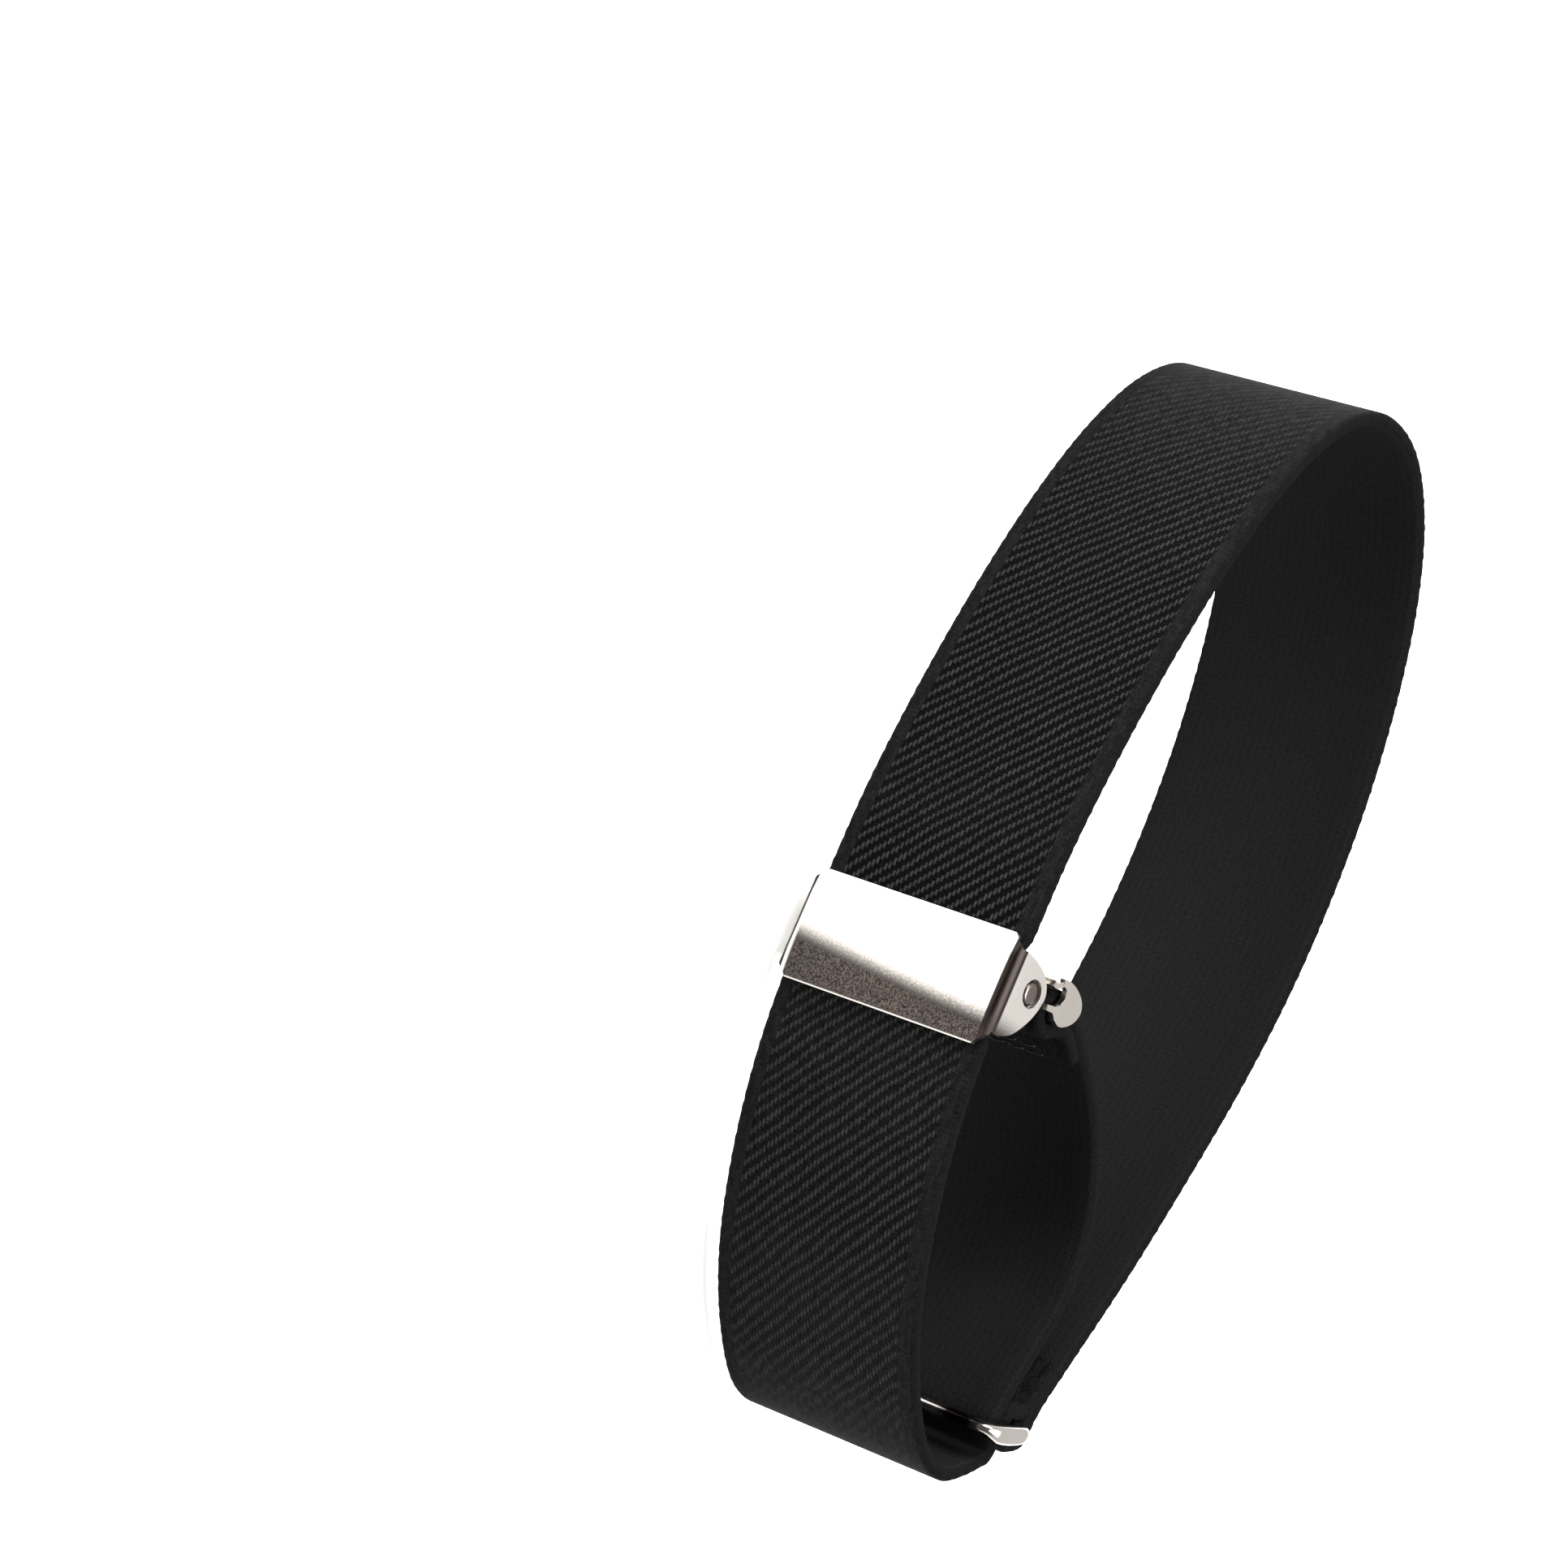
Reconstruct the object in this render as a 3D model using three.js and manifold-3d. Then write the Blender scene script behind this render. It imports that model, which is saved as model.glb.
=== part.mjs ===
// Elastic shirt sleeve holder lying on one edge of its band, in millimetres, +Z up
// +X runs along the loop towards the ring, -Y faces the slide plate and Z runs across the band

import * as THREE from "three";
import { mergeVertices } from "three/addons/utils/BufferGeometryUtils.js";
import Module from "manifold-3d";

const wasm = await Module();
wasm.setup();

// Clear space between neighbouring pieces, and overlap of solids that are joined
const GAP = 0.3;
const FUSE = 0.05;
const SAMPLES_PER_STEP = 4;
const ARC_STEPS = 8;

// Ring at the foot of the loop, longer than the band is wide
const RING_CENTRE = { along: 51, across: 9 };
const RING_LEAN = 10.7;
const RING_LENGTH = 28.8;
const RING_HEIGHT = 9.8;
const RING_STOCK = 2.3;
const RING_END = 1.6;
const RING_THICK = 1.3;
const RING_CORNER = 1.6;
const MIDDLE = RING_LENGTH / 2;

// Band
const BAND_WIDTH = 25;
const BAND_THICK = 1.6;
const BAND_FOOT = MIDDLE - BAND_WIDTH / 2;
const BAND_TOP = MIDDLE + BAND_WIDTH / 2;

// Length of the two folded ends that are sewn down on the band, and slack of the fold on the ring
const RING_TAIL = 9.5;
const BAR_TAIL = 10;
const FOLD_SLACK = 0.4;

// Slide plate, with a pressed sheet in front and an ear over each edge of the band
const PLATE_SHEET = 0.6;
const PLATE_LENGTH = 26;
const PLATE_TOP = 6.8;
const PLATE_FOOT = 18.6;
const PLATE_BACK = -25.3;
const PLATE_BULGE = 0.45;
const CORNER_IN = 1.8;
const CORNER_RUN = 1.5;
const BEND = 1.3;
const PLATE_LOW = MIDDLE - PLATE_LENGTH / 2;
const PLATE_HIGH = MIDDLE + PLATE_LENGTH / 2;

// Free edge of an ear, from the upper side over its tip to the lower side
const EAR_EDGE = [
  { along: 8.1, across: -24.4 },
  { along: 8.5, across: -21.9 },
  { along: 9.4, across: -19.5 },
  { along: 10.9, across: -18.3 },
  { along: 12.8, across: -18.8 },
  { along: 14.6, across: -20.1 },
  { along: 16.1, across: -21.9 },
  { along: 16.9, across: -24.2 },
];
const HOLE_ALONG = 3;
const HOLE_ACROSS = 3.6;

// How far the ears press in the edges of the band, and the run of the slope on either side
const PRESS = PLATE_SHEET + GAP - (PLATE_LENGTH - BAND_WIDTH) / 2;
const PRESS_RUN = 1;

// Pivot pin, level with the outer faces of the ears
const PIN = { along: 11.4, across: -21 };
const PIN_RADIUS = 1.2;
const PIN_CHAMFER = 0.2;

// Lever behind the plate
const LEVER_SHEET = 0.6;
const BARREL_WALL = 0.4;
const TOOTH_HEIGHT = 0.2;
const TOOTH_COUNT = 11;
const TOOTH_HALF = 0.4;
const LEVER_SHOULDER = -18.2;
const LEVER_END = -14;
const LEVER_RUN = 5;
const BAR = { along: 11.8, across: -14.4 };
const BAR_RADIUS = 0.75;

// Section of the lever's sheet, from the barrel to its wavy end
const LEVER_LINE = [
  { along: 9.9, across: -21.9 },
  { along: 9.4, across: -21.0 },
  { along: 9.1, across: -20.0 },
  { along: 9.1, across: -18.9 },
  { along: 9.3, across: -17.6 },
  { along: 8.9, across: -16.6 },
  { along: 8.5, across: -15.8 },
  { along: 8.6, across: -15.0 },
];

// Outer edge of the lever's side lobes, and the edge of their mouth with a thin arm below it
const LOBE_EDGE = [
  { along: 8.3, across: -16.6 },
  { along: 8.2, across: -15.2 },
  { along: 8.5, across: -13.4 },
  { along: 9.3, across: -11.7 },
  { along: 10.3, across: -11.1 },
  { along: 11.4, across: -11.6 },
  { along: 12.3, across: -12.9 },
  { along: 12.7, across: -14.3 },
  { along: 12.4, across: -15.6 },
];
const LOBE_MOUTH = [
  { along: 11.9, across: -16.4 },
  { along: 12.0, across: -17.8 },
  { along: 11.4, across: -17.8 },
  { along: 11.2, across: -16.4 },
  { along: 10.8, across: -15.6 },
  { along: 10.0, across: -15.2 },
  { along: 9.2, across: -15.4 },
  { along: 8.9, across: -16.4 },
];

// Centre line of the band from the ring over the back, the top, the front and the foot
const BAND_LINE = [
  { along: 47.4, across: 15.6 },
  { along: 43.0, across: 17.3 },
  { along: 31.0, across: 22.2 },
  { along: 18.5, across: 26.4 },
  { along: 5.5, across: 30.1 },
  { along: -6.5, across: 32.1 },
  { along: -18.5, across: 32.4 },
  { along: -30.0, across: 31.1 },
  { along: -41.0, across: 28.1 },
  { along: -50.0, across: 23.8 },
  { along: -56.7, across: 18.2 },
  { along: -60.9, across: 11.5 },
  { along: -61.9, across: 5.0 },
  { along: -60.4, across: -1.2 },
  { along: -56.0, across: -7.0 },
  { along: -49.0, across: -12.0 },
  { along: -39.5, across: -16.3 },
  { along: -28.0, across: -19.8 },
  { along: -15.0, across: -22.5 },
  { along: -3.0, across: -24.0 },
  { along: 6.0, across: -24.2 },
  { along: 19.0, across: -24.2 },
  { along: 28.0, across: -22.7 },
  { along: 37.0, across: -19.6 },
  { along: 45.5, across: -15.0 },
  { along: 52.5, across: -8.8 },
  { along: 57.0, across: -2.3 },
  { along: 57.7, across: 2.6 },
  { along: 56.1, across: 6.4 },
  { along: 54.0, across: 8.6 },
  { along: 51.2, across: 8.1 },
];

// Centre line of the inner run from the ring back up to the lever
const INNER_LINE = [
  { along: 47.6, across: 8.6 },
  { along: 42.6, across: 10.2 },
  { along: 36.0, across: 11.9 },
  { along: 28.5, across: 10.7 },
  { along: 21.5, across: 6.1 },
  { along: 16.6, across: 0.6 },
  { along: 13.0, across: -5.4 },
  { along: 11.0, across: -9.6 },
  { along: 10.1, across: -12.6 },
];

function standard(color, roughness, metalness) {
  return new THREE.MeshStandardMaterial({ color, roughness, metalness });
}

const WEBBING = standard(0x1d1d1f, 0.85, 0);
const NICKEL = standard(0xd8d5d0, 0.28, 1);

function point(along, across) {
  return new THREE.Vector2(along, across);
}

function pointsOf(rows) {
  return rows.map((row) => point(row.along, row.across));
}

function solidOf(geometry) {
  geometry.deleteAttribute("normal");
  geometry.deleteAttribute("uv");
  const merged = mergeVertices(geometry);
  return new wasm.Manifold(
    new wasm.Mesh({
      numProp: 3,
      vertProperties: Float32Array.from(merged.attributes.position.array),
      triVerts: Uint32Array.from(merged.index.array),
    }),
  );
}

function meshOf(name, solid, material) {
  const data = solid.getMesh();
  const geometry = new THREE.BufferGeometry();
  geometry.setAttribute("position", new THREE.BufferAttribute(data.vertProperties, 3));
  geometry.setIndex(new THREE.BufferAttribute(data.triVerts, 1));
  const mesh = new THREE.Mesh(geometry, material.clone());
  mesh.name = name;
  return mesh;
}

function joined(solids) {
  return solids.reduce((whole, solid) => whole.add(solid));
}

function raised(outline, depth) {
  const shape = outline instanceof THREE.Shape ? outline : new THREE.Shape(outline);
  return new THREE.ExtrudeGeometry(shape, {
    depth,
    bevelEnabled: false,
    curveSegments: ARC_STEPS,
  });
}

// A plan outline raised between two heights
function upright(outline, low, high) {
  const geometry = raised(outline, high - low);
  geometry.translate(0, 0, low);
  return solidOf(geometry);
}

// An outline of (across, height) carried along X between two stations
function carriedAlong(outline, start, end) {
  const geometry = raised(outline, end - start);
  const turn = new THREE.Matrix4().set(0, 0, 1, start, 1, 0, 0, 0, 0, 1, 0, 0, 0, 0, 0, 1);
  geometry.applyMatrix4(turn);
  return solidOf(geometry);
}

// An outline of (along, height) carried along Y between two stations
function carriedAcross(outline, start, end) {
  const geometry = raised(outline, end - start);
  const turn = new THREE.Matrix4().set(1, 0, 0, 0, 0, 0, -1, end, 0, 1, 0, 0, 0, 0, 0, 1);
  geometry.applyMatrix4(turn);
  return solidOf(geometry);
}

function smooth(rows) {
  const knots = rows.map((row) => new THREE.Vector3(row.along, row.across, 0));
  const curve = new THREE.CatmullRomCurve3(knots, false, "centripetal");
  const points = curve.getPoints(SAMPLES_PER_STEP * (knots.length - 1));
  return points.map((p) => point(p.x, p.y));
}

// The line moved sideways, to its left where the distance is positive
function shifted(line, distance) {
  return line.map((p, i) => {
    const before = line[Math.max(i - 1, 0)];
    const after = line[Math.min(i + 1, line.length - 1)];
    const run = after.clone().sub(before).normalize();
    return point(p.x - run.y * distance, p.y + run.x * distance);
  });
}

function ribbon(line, thick) {
  const left = shifted(line, thick / 2);
  const right = shifted(line, -thick / 2);
  return left.concat(right.reverse());
}

// A point at an offset up the ring and to the side of its plane
function alongRing(offset, side) {
  const lean = THREE.MathUtils.degToRad(RING_LEAN);
  return {
    along: RING_CENTRE.along - Math.sin(lean) * offset + Math.cos(lean) * side,
    across: RING_CENTRE.across + Math.cos(lean) * offset + Math.sin(lean) * side,
  };
}

// Band round the ring's back bar, from the inner face through the window to the outer edge
function ringFold() {
  const snug = GAP + BAND_THICK / 2;
  const loose = snug + FOLD_SLACK;
  const side = RING_THICK / 2;
  const far = RING_HEIGHT / 2;
  const near = far - RING_STOCK;
  const knot = (offset, across, angle, reach) => {
    const turn = THREE.MathUtils.degToRad(angle);
    return alongRing(offset + reach * Math.cos(turn), across + reach * Math.sin(turn));
  };
  return [
    knot(far - GAP, -side, -90, snug),
    knot(near, -side, -90, snug),
    knot(near, -side, -135, snug),
    knot(near, -side, -180, snug),
    knot(near, side, 180, snug),
    knot(near, side, 135, loose),
    knot(near, side, 90, loose),
    knot(far, side, 90, snug),
    knot(far, side, 60, snug),
    knot(far, side, 32, snug),
  ];
}

// Half turn of the band round the lever's bar, from its upper side to its lower side
function barFold() {
  const reach = BAR_RADIUS + GAP + BAND_THICK / 2;
  const rows = [];
  for (let i = 0; i <= SAMPLES_PER_STEP; i += 1) {
    const turn = (Math.PI * i) / SAMPLES_PER_STEP;
    rows.push({
      along: BAR.along - Math.cos(turn) * reach,
      across: BAR.across - Math.sin(turn) * reach,
    });
  }
  return rows;
}

// The start of a line up to a length
function firstPart(line, length) {
  const kept = [line[0]];
  let run = 0;
  for (let i = 1; i < line.length && run < length; i += 1) {
    run += line[i].distanceTo(line[i - 1]);
    kept.push(line[i]);
  }
  return kept;
}

// Knots of a folded end that lies against the band, from the fold to its cut end
function tailKnots(line, length, skip, side) {
  const laid = shifted(firstPart(line, length), side * (BAND_THICK - FUSE));
  const knots = laid.filter((p, i) => i >= skip && (i - skip) % SAMPLES_PER_STEP === 0);
  return knots.map((p) => ({ along: p.x, across: p.y }));
}

// Space that the ears take from one edge of the band, as (along, height) from the outside inwards
function pressedEdge(outside, inside) {
  const from = EAR_EDGE[0].along - GAP;
  const to = EAR_EDGE.at(-1).along + GAP;
  const outline = new THREE.Shape([
    point(from - PRESS_RUN, outside),
    point(from, inside),
    point(to, inside),
    point(to + PRESS_RUN, outside),
  ]);
  return carriedAcross(outline, PLATE_BACK, PLATE_BACK + 2 * BAND_THICK);
}

function elasticStrap() {
  const ringTurn = ringFold();
  const barTurn = barFold();
  const run = smooth([ringTurn.at(-1), ...BAND_LINE, ...INNER_LINE, barTurn[0]]);
  const ringTail = tailKnots(run, RING_TAIL, SAMPLES_PER_STEP, 1).reverse();
  const barTail = tailKnots([...run].reverse(), BAR_TAIL, 2 * SAMPLES_PER_STEP, -1);
  const before = [...ringTail, ...ringTurn];
  const middle = [...BAND_LINE, ...INNER_LINE];
  const whole = smooth([...before, ...middle, ...barTurn, ...barTail]);
  const first = SAMPLES_PER_STEP * (before.length - 2);
  const last = SAMPLES_PER_STEP * (before.length + middle.length + 1);
  const left = shifted(whole, BAND_THICK / 2);
  const right = shifted(whole, -BAND_THICK / 2);
  const spans = [
    [0, first + 1],
    [first, last + 1],
    [last, whole.length],
  ];
  const outlines = spans.map(([a, b]) => left.slice(a, b).concat(right.slice(a, b).reverse()));
  const band = joined(outlines.map((outline) => upright(outline, BAND_FOOT, BAND_TOP)));
  const pressed = joined([
    pressedEdge(BAND_FOOT - FUSE, BAND_FOOT + PRESS),
    pressedEdge(BAND_TOP + FUSE, BAND_TOP - PRESS),
  ]);
  return band.subtract(pressed);
}

// Bulged front sheet as a strip between two arcs
function plateArc() {
  const half = (PLATE_FOOT - PLATE_TOP) / 2;
  const middle = (PLATE_FOOT + PLATE_TOP) / 2;
  const back = [];
  for (let i = -ARC_STEPS; i <= ARC_STEPS; i += 1) {
    const t = i / ARC_STEPS;
    back.push(point(middle + half * t, PLATE_BACK - PLATE_BULGE * (1 - t * t)));
  }
  return ribbon(back, PLATE_SHEET).map((p) => point(p.x, p.y - PLATE_SHEET / 2));
}

// Front view of the sheet with its four cut corners, as (along, height)
function plateFront() {
  const low = PLATE_LOW + CORNER_IN;
  const high = PLATE_HIGH - CORNER_IN;
  return new THREE.Shape([
    point(PLATE_TOP - GAP, low),
    point(PLATE_TOP - GAP, high),
    point(PLATE_TOP + CORNER_RUN, PLATE_HIGH),
    point(PLATE_FOOT - CORNER_RUN, PLATE_HIGH),
    point(PLATE_FOOT + GAP, high),
    point(PLATE_FOOT + GAP, low),
    point(PLATE_FOOT - CORNER_RUN, PLATE_LOW),
    point(PLATE_TOP + CORNER_RUN, PLATE_LOW),
  ]);
}

function earOutline() {
  const root = PLATE_BACK - PLATE_BULGE - PLATE_SHEET / 2;
  const edge = smooth(EAR_EDGE);
  const shape = new THREE.Shape([point(edge.at(-1).x, root), point(edge[0].x, root), ...edge]);
  const hole = new THREE.Path();
  hole.absellipse(PIN.along, PIN.across, HOLE_ALONG / 2, HOLE_ACROSS / 2, 0, 2 * Math.PI);
  shape.holes.push(hole);
  return shape;
}

// Outside of the two bends that carry the ears, as (across, height)
function bendSection() {
  const front = PLATE_BACK - PLATE_SHEET - PLATE_BULGE;
  const centre = front + BEND;
  const shape = new THREE.Shape();
  shape.moveTo(LEVER_SHOULDER, PLATE_LOW);
  shape.lineTo(LEVER_SHOULDER, PLATE_HIGH);
  shape.lineTo(centre, PLATE_HIGH);
  shape.absarc(centre, PLATE_HIGH - BEND, BEND, Math.PI / 2, Math.PI, false);
  shape.lineTo(front, PLATE_LOW + BEND);
  shape.absarc(centre, PLATE_LOW + BEND, BEND, Math.PI, 1.5 * Math.PI, false);
  return shape;
}

function adjusterPlate() {
  const sheet = upright(plateArc(), PLATE_LOW, PLATE_HIGH);
  const front = carriedAcross(plateFront(), PLATE_BACK - 2 * BEND, PLATE_BACK + BEND);
  const ears = [
    upright(earOutline(), PLATE_LOW, PLATE_LOW + PLATE_SHEET),
    upright(earOutline(), PLATE_HIGH - PLATE_SHEET, PLATE_HIGH),
  ];
  const body = joined([sheet.intersect(front), ...ears]);
  return body.intersect(carriedAlong(bendSection(), PLATE_TOP - BEND, PLATE_FOOT + BEND));
}

function pivotPin() {
  const low = PLATE_LOW + FUSE;
  const high = PLATE_HIGH - FUSE;
  const profile = [
    point(0, low),
    point(PIN_RADIUS - PIN_CHAMFER, low),
    point(PIN_RADIUS, low + PIN_CHAMFER),
    point(PIN_RADIUS, high - PIN_CHAMFER),
    point(PIN_RADIUS - PIN_CHAMFER, high),
    point(0, high),
  ];
  const geometry = new THREE.LatheGeometry(profile, 3 * ARC_STEPS);
  geometry.rotateX(Math.PI / 2);
  geometry.translate(PIN.along, PIN.across, 0);
  return solidOf(geometry);
}

function roundOutline(centre, radius) {
  const shape = new THREE.Shape();
  shape.absarc(centre.along, centre.across, radius, 0, 2 * Math.PI, false);
  return shape;
}

// Row of teeth that faces the front run of the band, as (across, height)
function teethOutline(low, high) {
  const barrel = PIN.across - PIN_RADIUS - GAP;
  const valley = barrel - BARREL_WALL;
  const tip = valley - TOOTH_HEIGHT;
  const pitch = (high - low) / TOOTH_COUNT;
  const root = barrel - BARREL_WALL / 2;
  const points = [point(root, low), point(root, high)];
  for (let i = TOOTH_COUNT; i > 0; i -= 1) {
    points.push(point(valley, low + pitch * i));
    points.push(point(tip, low + pitch * (i - 1 / 2)));
  }
  points.push(point(valley, low));
  return new THREE.Shape(points);
}

function lobeOutline() {
  return new THREE.Shape([...smooth(LOBE_EDGE), ...pointsOf(LOBE_MOUTH)]);
}

// Back view of the lever's sheet, narrow between the ears and wide behind them
function leverSpread(narrowLow, narrowHigh, wideLow, wideHigh) {
  return new THREE.Shape([
    point(PIN.across - LEVER_RUN, narrowLow),
    point(LEVER_SHOULDER, narrowLow),
    point(LEVER_SHOULDER, wideLow),
    point(LEVER_END, wideLow),
    point(LEVER_END, wideHigh),
    point(LEVER_SHOULDER, wideHigh),
    point(LEVER_SHOULDER, narrowHigh),
    point(PIN.across - LEVER_RUN, narrowHigh),
  ]);
}

function adjusterLever() {
  const low = PLATE_LOW + PLATE_SHEET + GAP;
  const high = PLATE_HIGH - PLATE_SHEET - GAP;
  const under = BAND_FOOT - GAP - LEVER_SHEET;
  const over = BAND_TOP + GAP + LEVER_SHEET;
  const spread = leverSpread(low, high, under + FUSE, over - FUSE);
  const wave = upright(ribbon(smooth(LEVER_LINE), LEVER_SHEET), under, over);
  const sheet = wave.intersect(carriedAlong(spread, PIN.along - LEVER_RUN, PIN.along));
  const barrel = upright(roundOutline(PIN, PIN_RADIUS + GAP + BARREL_WALL), low, high);
  const row = teethOutline(low + FUSE, high - FUSE);
  const teeth = carriedAlong(row, PIN.along - TOOTH_HALF, PIN.along + TOOTH_HALF);
  const bore = upright(roundOutline(PIN, PIN_RADIUS + GAP), low - GAP, high + GAP);
  const bar = upright(roundOutline(BAR, BAR_RADIUS), under + GAP, over - GAP);
  const lobes = [
    upright(lobeOutline(), under, under + LEVER_SHEET),
    upright(lobeOutline(), over - LEVER_SHEET, over),
  ];
  return joined([barrel, sheet, teeth]).subtract(bore).add(joined([bar, ...lobes]));
}

// Flat view of the ring with its window, as (across, height)
function ringOutline() {
  const half = RING_HEIGHT / 2;
  const turn = half - RING_CORNER;
  const low = RING_CORNER;
  const high = RING_LENGTH - RING_CORNER;
  const shape = new THREE.Shape();
  shape.moveTo(-half, low);
  shape.absarc(-turn, low, RING_CORNER, Math.PI, 1.5 * Math.PI, false);
  shape.absarc(turn, low, RING_CORNER, 1.5 * Math.PI, 2 * Math.PI, false);
  shape.absarc(turn, high, RING_CORNER, 0, 0.5 * Math.PI, false);
  shape.absarc(-turn, high, RING_CORNER, 0.5 * Math.PI, Math.PI, false);
  const inside = half - RING_STOCK;
  const window = new THREE.Path([
    point(-inside, RING_END),
    point(-inside, RING_LENGTH - RING_END),
    point(inside, RING_LENGTH - RING_END),
    point(inside, RING_END),
  ]);
  shape.holes.push(window);
  return shape;
}

function slideRing() {
  const ring = carriedAlong(ringOutline(), -RING_THICK / 2, RING_THICK / 2);
  const leaning = ring.rotate([0, 0, RING_LEAN]);
  return leaning.translate([RING_CENTRE.along, RING_CENTRE.across, 0]);
}

// Moves the whole to the middle of its own footprint
function centred(group) {
  const box = new THREE.Box3().setFromObject(group);
  const middle = box.getCenter(new THREE.Vector3());
  for (const mesh of group.children) {
    mesh.geometry.translate(-middle.x, -middle.y, -box.min.z);
  }
  return group;
}

const holder = new THREE.Group();
holder.add(meshOf("elastic_strap", elasticStrap(), WEBBING));
holder.add(meshOf("adjuster_plate", adjusterPlate(), NICKEL));
holder.add(meshOf("adjuster_lever", adjusterLever(), NICKEL));
holder.add(meshOf("pivot_pin", pivotPin(), NICKEL));
holder.add(meshOf("slide_ring", slideRing(), NICKEL));

export default centred(holder);
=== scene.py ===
"""Elastic shirt sleeve holder: ribbed black webbing with a satin nickel slide plate, lever, pin and ring.

Lengths are in millimetres, and MM turns them to metres where a piece or a shader takes them; the camera's
and the lights' places are in metres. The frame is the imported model's own: +X runs along the loop towards
the ring, -Y faces the slide plate and +Z runs across the band, up from the floor.
"""

import math

import bmesh
import bpy
import numpy as np
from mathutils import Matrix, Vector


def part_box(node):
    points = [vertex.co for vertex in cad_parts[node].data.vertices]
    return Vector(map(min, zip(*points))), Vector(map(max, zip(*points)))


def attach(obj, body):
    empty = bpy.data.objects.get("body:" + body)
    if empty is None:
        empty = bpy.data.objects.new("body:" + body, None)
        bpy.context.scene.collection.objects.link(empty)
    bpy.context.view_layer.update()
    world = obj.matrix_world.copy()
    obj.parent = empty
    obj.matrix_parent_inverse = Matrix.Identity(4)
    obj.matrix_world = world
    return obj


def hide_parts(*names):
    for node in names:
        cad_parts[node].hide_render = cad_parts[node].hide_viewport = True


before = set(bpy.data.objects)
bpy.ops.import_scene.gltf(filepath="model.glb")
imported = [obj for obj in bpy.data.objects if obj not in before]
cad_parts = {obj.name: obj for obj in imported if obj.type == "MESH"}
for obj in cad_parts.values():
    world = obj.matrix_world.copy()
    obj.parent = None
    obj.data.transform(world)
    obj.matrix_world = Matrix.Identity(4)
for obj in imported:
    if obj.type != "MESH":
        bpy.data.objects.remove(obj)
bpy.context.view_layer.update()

MM = 0.001
MATH, RANGE, MIX, NOISE = "ShaderNodeMath", "ShaderNodeMapRange", "ShaderNodeMix", "ShaderNodeTexNoise"

# Band: its section, the overlap of sewn layers, the clearance round metal, and its height above the floor
BAND_WIDTH = 25.0
BAND_THICK = 1.6
EDGE_ROUND = 0.55
FUSE = 0.05
GAP = 0.3
BAND_MIDDLE = (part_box("elastic_strap")[0].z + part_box("elastic_strap")[1].z) / 2 / MM

# Steps between two knots of a first line and of the finished one, and the mesh's step along the band
KNOT_STEPS, LINE_STEPS, STATION = 4, 24, 0.38

# Points across the outer face, across the inner face and round each edge
OUTER_POINTS, INNER_POINTS, EDGE_POINTS = 64, 12, 6

# Thickness of the outermost yarns along the edges: rise, pitch and phase of two waves
EDGE_WAVES = [(0.05, 1.66, 0.0), (0.04, 1.1, 1.0)]
EDGE_SUNK = 0.05

# Stretch of the front run where the plate's ears press the edges in, its slope and its depth
PRESSED_FROM, PRESSED_TO, PRESSED_RUN, PRESSED_DEEP = 7.8, 17.2, 1.0, 0.4
FRONT_RUN = -22.0

# Weave of the outer face: warp yarn spacing, how far each yarn moves its floats on, and by chance, the
# ribs' pitch along the band and their rise, and where the plain edge starts from mid width, and how softly
YARN_STEP, YARN_SHIFT, STRAY = 0.39, 0.43, 0.15
RIB_PITCH, RIB_RISE = 1.66, 0.06
PLAIN_EDGE, PLAIN_SOFT = 10.7, 0.2

# Wander of the weave along the band: how far, and turn in radians per mm along and across
WEAVE_WAVES = [(0.1, 0.9, 0.35), (0.06, 0.4, -0.8), (0.04, 2.1, 1.1)]

# Flattening of the ribs: radius at which they keep half their height, count of stations that the bend is
# evened over, length of each sewn end and of the change beside it, and the share of height left there
SLACKEN, BEND_WINDOW = 42.0, 27
SEWN_REACH, SEWN_FADE, SEWN_RELIEF = 13.0, 4.0, 0.25

# A float's half length as a share of the pitch, the fullness of its round, and its least and added light
FLOAT_HALF, FLOAT_ROUND = 0.24, 0.7
FLOAT_LEAST, FLOAT_ADDED = 0.7, 0.6

# Pitch of the crossing picks, and of the lengthwise lines on the inner face
PICK_PITCH, INNER_PITCH = 0.6, 0.9

# Loose fibres' noise, their share, the depth of the drawn weave, and where painted shade darkens the very
# edge, with the share of colour left there
FUZZ_SCALE, FUZZ_SHARE = 4.0, 0.5
WEAVE_DEEP = 0.24
EDGE_SHADE_FROM, EDGE_SHADE_TO, EDGE_SHADE_LEFT = 12.0, 12.4, 0.35

# Sewing: pitch, length, rise and depth of one stitch, radius of its thread, and the bare width at the
# lower and the upper edge
STITCH_PITCH, STITCH_LENGTH, STITCH_RISE, STITCH_SUNK, THREAD_RADIUS = 2.4, 1.8, 0.08, 0.1, 0.11
STITCH_BELOW, STITCH_ABOVE = 1.6, 2.8
STITCH_STATIONS, THREAD_SIDES = 7, 6

# Rows of sewing: distance from a cut end (minus from the other end), side of the centre line, and depth
# from the surface there
STITCH_PLACES = [
    (2.0, 1, 0.0), (7.0, 1, 0.0), (2.0, 1, -3.15), (7.0, 1, -3.15),
    (-2.0, 1, 0.0), (-6.5, 1, 0.0), (-2.0, 1, -3.15), (-6.5, 1, -3.15),
]

# Ring: its place, its lean in degrees, its outline, stock, corners and section, and the swell of its short
# bars with the length that it takes and its slope
RING_ALONG, RING_ACROSS, RING_LEAN = 51.0, 9.0, 10.7
RING_LENGTH, RING_HEIGHT, RING_THICK = 28.8, 9.8, 1.3
RING_STOCK, RING_END = 2.3, 1.6
RING_CORNER, WINDOW_CORNER = 2.6, 1.0
RING_SWELL, SWELL_REACH, SWELL_RUN = 0.8, 1.6, 0.8

# Points round the ring's section, how square that is, and steps along each side or corner of its outline
RING_SIDES, RING_SQUARE, CORNER_STATIONS = 24, 0.85, 12
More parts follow.
